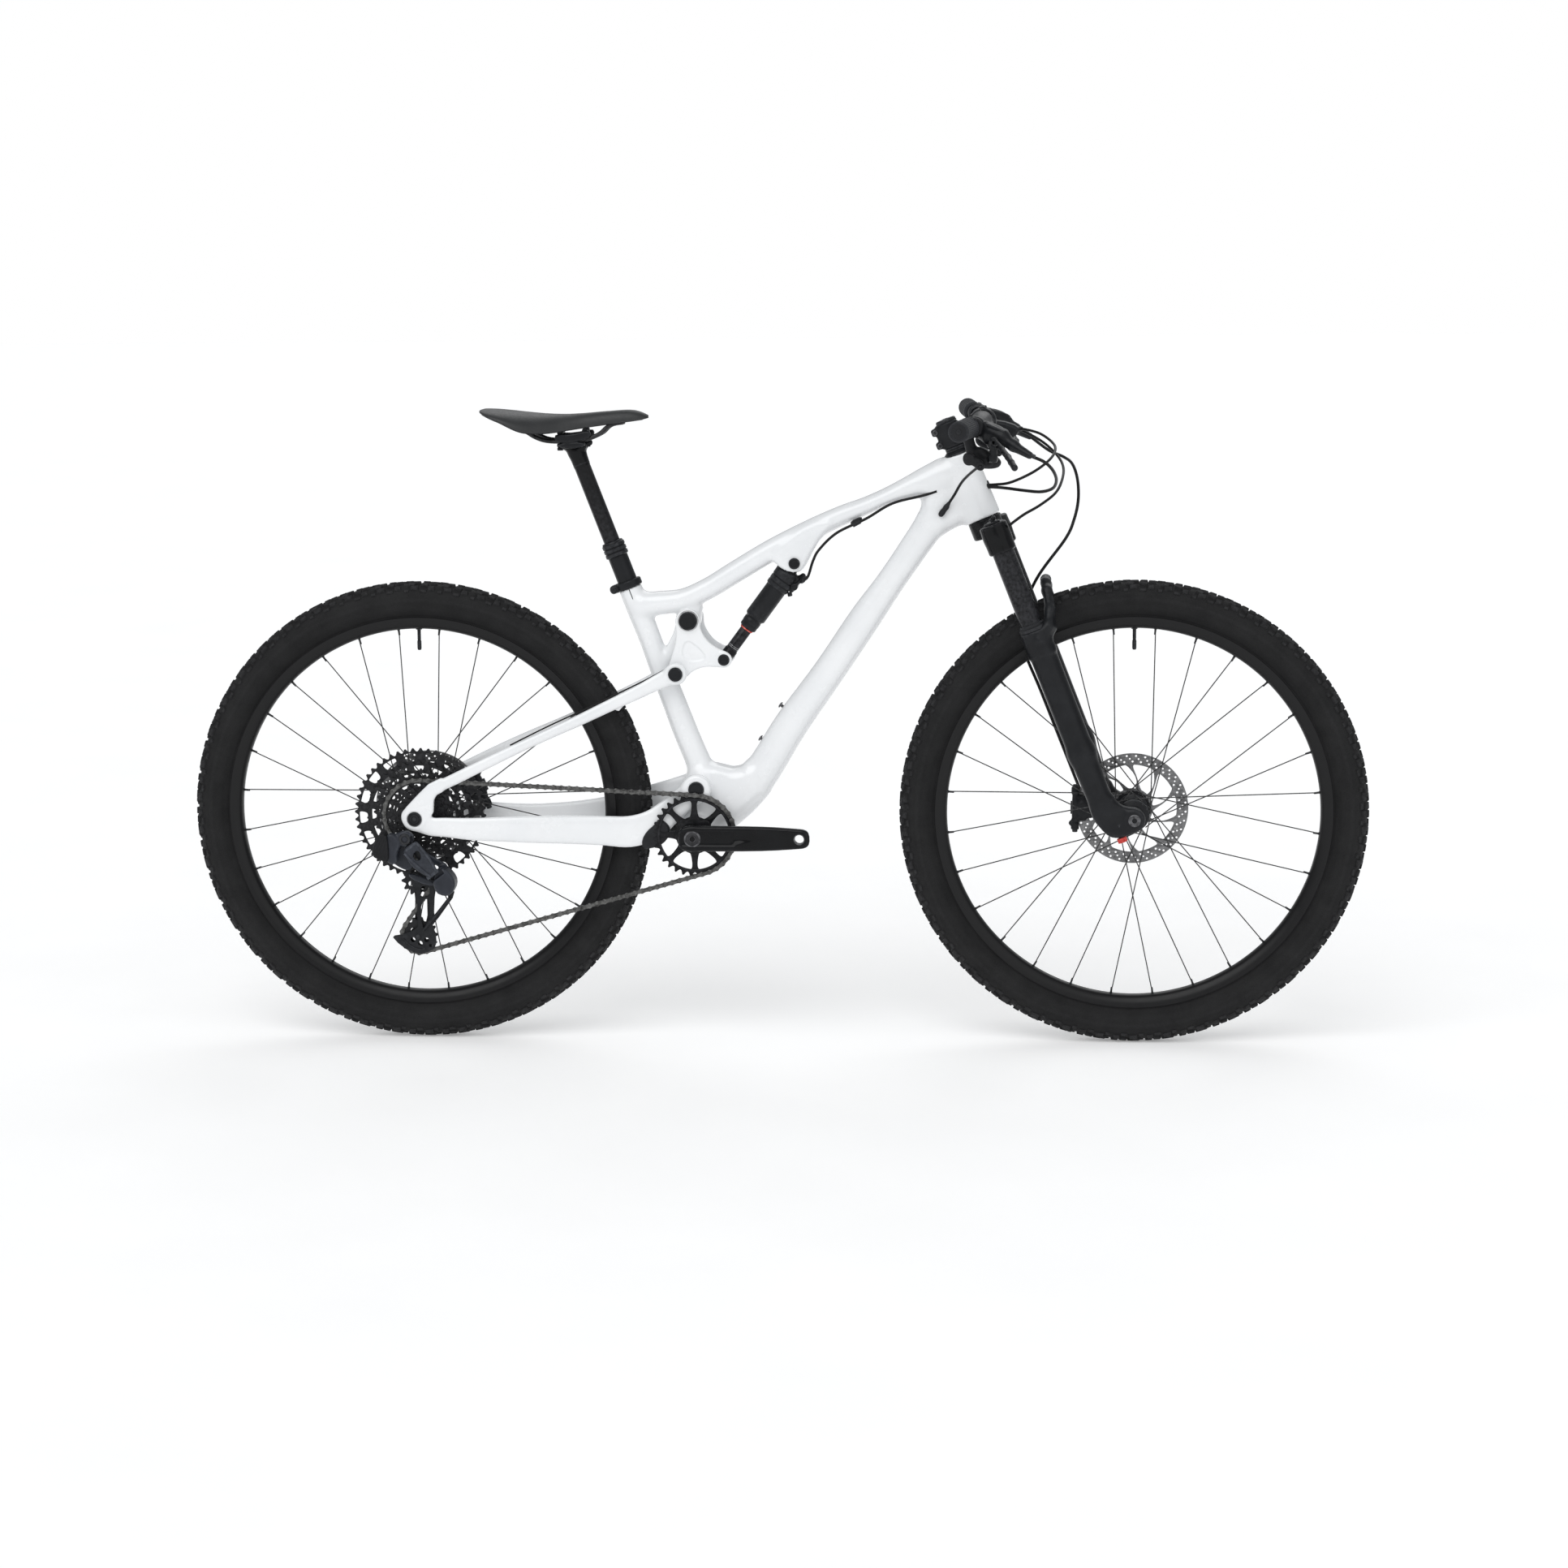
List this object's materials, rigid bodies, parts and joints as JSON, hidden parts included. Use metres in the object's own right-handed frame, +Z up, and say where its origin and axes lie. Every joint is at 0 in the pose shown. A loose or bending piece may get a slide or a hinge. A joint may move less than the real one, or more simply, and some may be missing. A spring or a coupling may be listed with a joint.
{
  "type": "mountain bike",
  "caption": "Full-suspension mountain bike: moulded frame, telescopic fork and seat post, linkage rear end, disc brakes and single-chainring drive.",
  "frame": {"origin": "on the ground, in the centre plane, half way between the two wheel axles", "axes": "+X forward, +Y to the rider's left, +Z up"},
  "size_m": [1.8998, 0.7434, 1.0268],
  "materials": {
    "white_paint": "gloss white paint over moulded carbon",
    "steel": "dark brushed steel",
    "black_alloy": "satin black anodised",
    "black_plastic": "moulded black plastic",
    "cable_black": "smooth black cable cover",
    "rail_metal": "black tube",
    "saddle_skin": "smooth black synthetic cover",
    "bar_carbon": "matt black bar",
    "grip_rubber": "ribbed black rubber",
    "knob_red": "red anodised",
    "tyre": "black tread rubber",
    "rim_carbon": "satin black carbon",
    "spoke_steel": "black coated wire",
    "chain_steel": "dark grey steel"
  },
  "bodies": {
    "frame": {"front_triangle": "white_paint", "frame_bearings": "steel", "pivot_axles": "black_alloy", "seat_clamp": "black_alloy", "seatpost_tube": "black_alloy", "bottle_bolts": "black_alloy", "cable_guides": "black_plastic", "frame_cables": "cable_black"},
    "post": {"seatpost_stanchion": "black_alloy", "saddle_rails": "rail_metal", "saddle_base": "black_plastic", "saddle_cover": "saddle_skin"},
    "steering": {"fork_crown": "black_alloy", "stanchions": "black_alloy", "headset_spacers": "black_alloy", "stem": "black_alloy", "stem_faceplate": "black_alloy", "handlebar": "bar_carbon", "grips": "grip_rubber", "brake_masters": "black_alloy", "shifter_pod": "black_plastic", "remote_pod": "black_plastic", "fork_cables": "cable_black"},
    "right_lever": {"right_brake_lever": "black_alloy"},
    "left_lever": {"left_brake_lever": "black_alloy"},
    "paddle": {"shift_paddle": "black_plastic"},
    "remote": {"remote_lever": "black_plastic"},
    "lowers": {"fork_lowers": "black_alloy", "front_axle": "black_alloy", "front_caliper": "black_alloy"},
    "knob": {"rebound_knob": "knob_red"},
    "front_wheel": {"front_tyre": "tyre", "front_rim": "rim_carbon", "front_spokes": "spoke_steel", "front_hub": "black_alloy", "front_rotor": "steel"},
    "rear_wheel": {"rear_tyre": "tyre", "rear_rim": "rim_carbon", "rear_spokes": "spoke_steel", "rear_hub": "black_alloy", "rear_rotor": "steel"},
    "swingarm": {"chainstays": "white_paint", "rear_axle": "black_alloy", "rear_caliper": "black_alloy", "chain": "chain_steel", "mech_mount": "black_plastic"},
    "stays": {"seatstays": "white_paint"},
    "rocker": {"rocker_link": "white_paint", "rocker_bolts": "black_alloy"},
    "shock_can": {"shock_can": "black_alloy"},
    "shock_shaft": {"shock_shaft": "black_alloy"},
    "crank": {"crank_arms": "black_alloy", "chainring": "black_alloy"},
    "cassette": {"cassette": "steel"},
    "outer_link": {"mech_outer_link": "black_alloy"},
    "inner_link": {"mech_inner_link": "black_alloy"},
    "knuckle": {"mech_knuckle": "black_alloy"},
    "cage": {"mech_cage": "black_plastic"},
    "guide_wheel": {"guide_pulley": "black_plastic"},
    "tension_wheel": {"tension_pulley": "black_plastic"}
  },
  "joints": [
    {"name": "seatpost_drop", "type": "slide", "parent": "frame", "child": "post", "axis": [-0.3535, 0, 0.9354], "range_m": [-0.125, 0]},
    {"name": "steering_turn", "type": "hinge", "parent": "frame", "child": "steering", "pos_m": [0.3352, 0, 0.8492], "axis": [-0.3633, 0, 0.9317], "range_deg": [-60, 60], "deforming": ["frame_cables"]},
    {"name": "right_brake_pull", "type": "hinge", "parent": "steering", "child": "right_lever", "pos_m": [0.352, -0.232, 0.978], "axis": [0, 0, -1], "range_deg": [0, 20], "stiffness_Nm_per_rad": 2, "springref_deg": -5.73},
    {"name": "left_brake_pull", "type": "hinge", "parent": "steering", "child": "left_lever", "pos_m": [0.352, 0.232, 0.978], "axis": [0, 0, 1], "range_deg": [0, 20], "stiffness_Nm_per_rad": 2, "springref_deg": -5.73},
    {"name": "shift_paddle_press", "type": "hinge", "parent": "steering", "child": "paddle", "pos_m": [0.334, -0.236, 0.946], "axis": [0, -1, 0], "range_deg": [0, 10], "stiffness_Nm_per_rad": 0.5, "springref_deg": -5.73},
    {"name": "remote_lever_press", "type": "hinge", "parent": "steering", "child": "remote", "pos_m": [0.352, 0.196, 0.952], "axis": [0, 1, 0], "range_deg": [0, 25], "stiffness_Nm_per_rad": 0.5, "springref_deg": -5.73},
    {"name": "fork_compression", "type": "slide", "parent": "steering", "child": "lowers", "axis": [-0.3633, 0, 0.9317], "range_m": [0, 0.12], "stiffness_N_per_m": 6000, "springref_m": -0.03, "deforming": ["fork_cables"]},
    {"name": "rebound_knob_turn", "type": "hinge", "parent": "lowers", "child": "knob", "pos_m": [0.55785, -0.066, 0.3387], "axis": [-0.3633, 0, 0.9317], "range_deg": [-150, 150]},
    {"name": "front_wheel_spin", "type": "hinge", "parent": "lowers", "child": "front_wheel", "pos_m": [0.575, 0, 0.375], "axis": [0, 1, 0], "continuous": true},
    {"name": "rear_suspension", "type": "hinge", "parent": "frame", "child": "swingarm", "pos_m": [-0.124, 0, 0.418], "axis": [0, 1, 0], "range_deg": [0, 15], "stiffness_Nm_per_rad": 600, "springref_deg": -6.88, "deforming": ["chain"]},
    {"name": "seatstay_flex", "type": "hinge", "parent": "swingarm", "child": "stays", "pos_m": [-0.518, 0, 0.435], "axis": [0, 1, 0], "range_deg": [0, 0.5]},
    {"name": "rocker_turn", "type": "hinge", "parent": "stays", "child": "rocker", "pos_m": [-0.1545, 0, 0.6045], "axis": [0, 1, 0], "range_deg": [-50, 0]},
    {"name": "shock_tilt", "type": "hinge", "parent": "frame", "child": "shock_can", "pos_m": [0.0355, 0, 0.779], "axis": [0, 1, 0], "range_deg": [0, 1]},
    {"name": "shock_stroke", "type": "slide", "parent": "shock_can", "child": "shock_shaft", "axis": [0.5958, 0, 0.8031], "range_m": [0, 0.05]},
    {"name": "rear_wheel_spin", "type": "hinge", "parent": "swingarm", "child": "rear_wheel", "pos_m": [-0.575, 0, 0.375], "axis": [0, 1, 0], "continuous": true},
    {"name": "crank_spin", "type": "hinge", "parent": "frame", "child": "crank", "pos_m": [-0.127, 0, 0.345], "axis": [0, 1, 0], "continuous": true},
    {"name": "cassette_spin", "type": "hinge", "parent": "swingarm", "child": "cassette", "pos_m": [-0.575, 0, 0.375], "axis": [0, 1, 0], "continuous": true},
    {"name": "derailleur_shift", "type": "slide", "parent": "swingarm", "child": "knuckle", "axis": [-0.1293, -0.9765, 0.1725], "range_m": [0, 0.0245]},
    {"name": "outer_link_turn", "type": "hinge", "parent": "swingarm", "child": "outer_link", "pos_m": [-0.57891, -0.099, 0.3326], "axis": [-0.8003, 0, -0.5997], "range_deg": [0, 25]},
    {"name": "inner_link_turn", "type": "hinge", "parent": "swingarm", "child": "inner_link", "pos_m": [-0.57891, -0.088, 0.3326], "axis": [-0.8003, 0, -0.5997], "range_deg": [0, 25]},
    {"name": "cage_swing", "type": "hinge", "parent": "knuckle", "child": "cage", "pos_m": [-0.532, -0.058, 0.27], "axis": [0, -1, 0], "range_deg": [0, 30], "stiffness_Nm_per_rad": 1, "springref_deg": -57.3},
    {"name": "guide_pulley_spin", "type": "hinge", "parent": "cage", "child": "guide_wheel", "pos_m": [-0.5795, -0.045, 0.2687], "axis": [0, 1, 0], "continuous": true},
    {"name": "tension_pulley_spin", "type": "hinge", "parent": "cage", "child": "tension_wheel", "pos_m": [-0.58, -0.045, 0.176], "axis": [0, 1, 0], "continuous": true}
  ],
  "couplings": [
    {"joint": "seatstay_flex", "follows": "rear_suspension", "ratio": 0.021},
    {"joint": "rocker_turn", "follows": "rear_suspension", "ratio": -3.208},
    {"joint": "shock_tilt", "follows": "rear_suspension", "ratio": 0.0308},
    {"joint": "shock_stroke", "follows": "rear_suspension", "m_per_rad": 0.1845},
    {"joint": "cassette_spin", "follows": "crank_spin", "ratio": 1.1429},
    {"joint": "guide_pulley_spin", "follows": "crank_spin", "ratio": -2.6667},
    {"joint": "tension_pulley_spin", "follows": "crank_spin", "ratio": 2.2857},
    {"joint": "outer_link_turn", "follows": "derailleur_shift", "rad_per_m": 17.68},
    {"joint": "inner_link_turn", "follows": "derailleur_shift", "rad_per_m": 17.68}
  ]
}
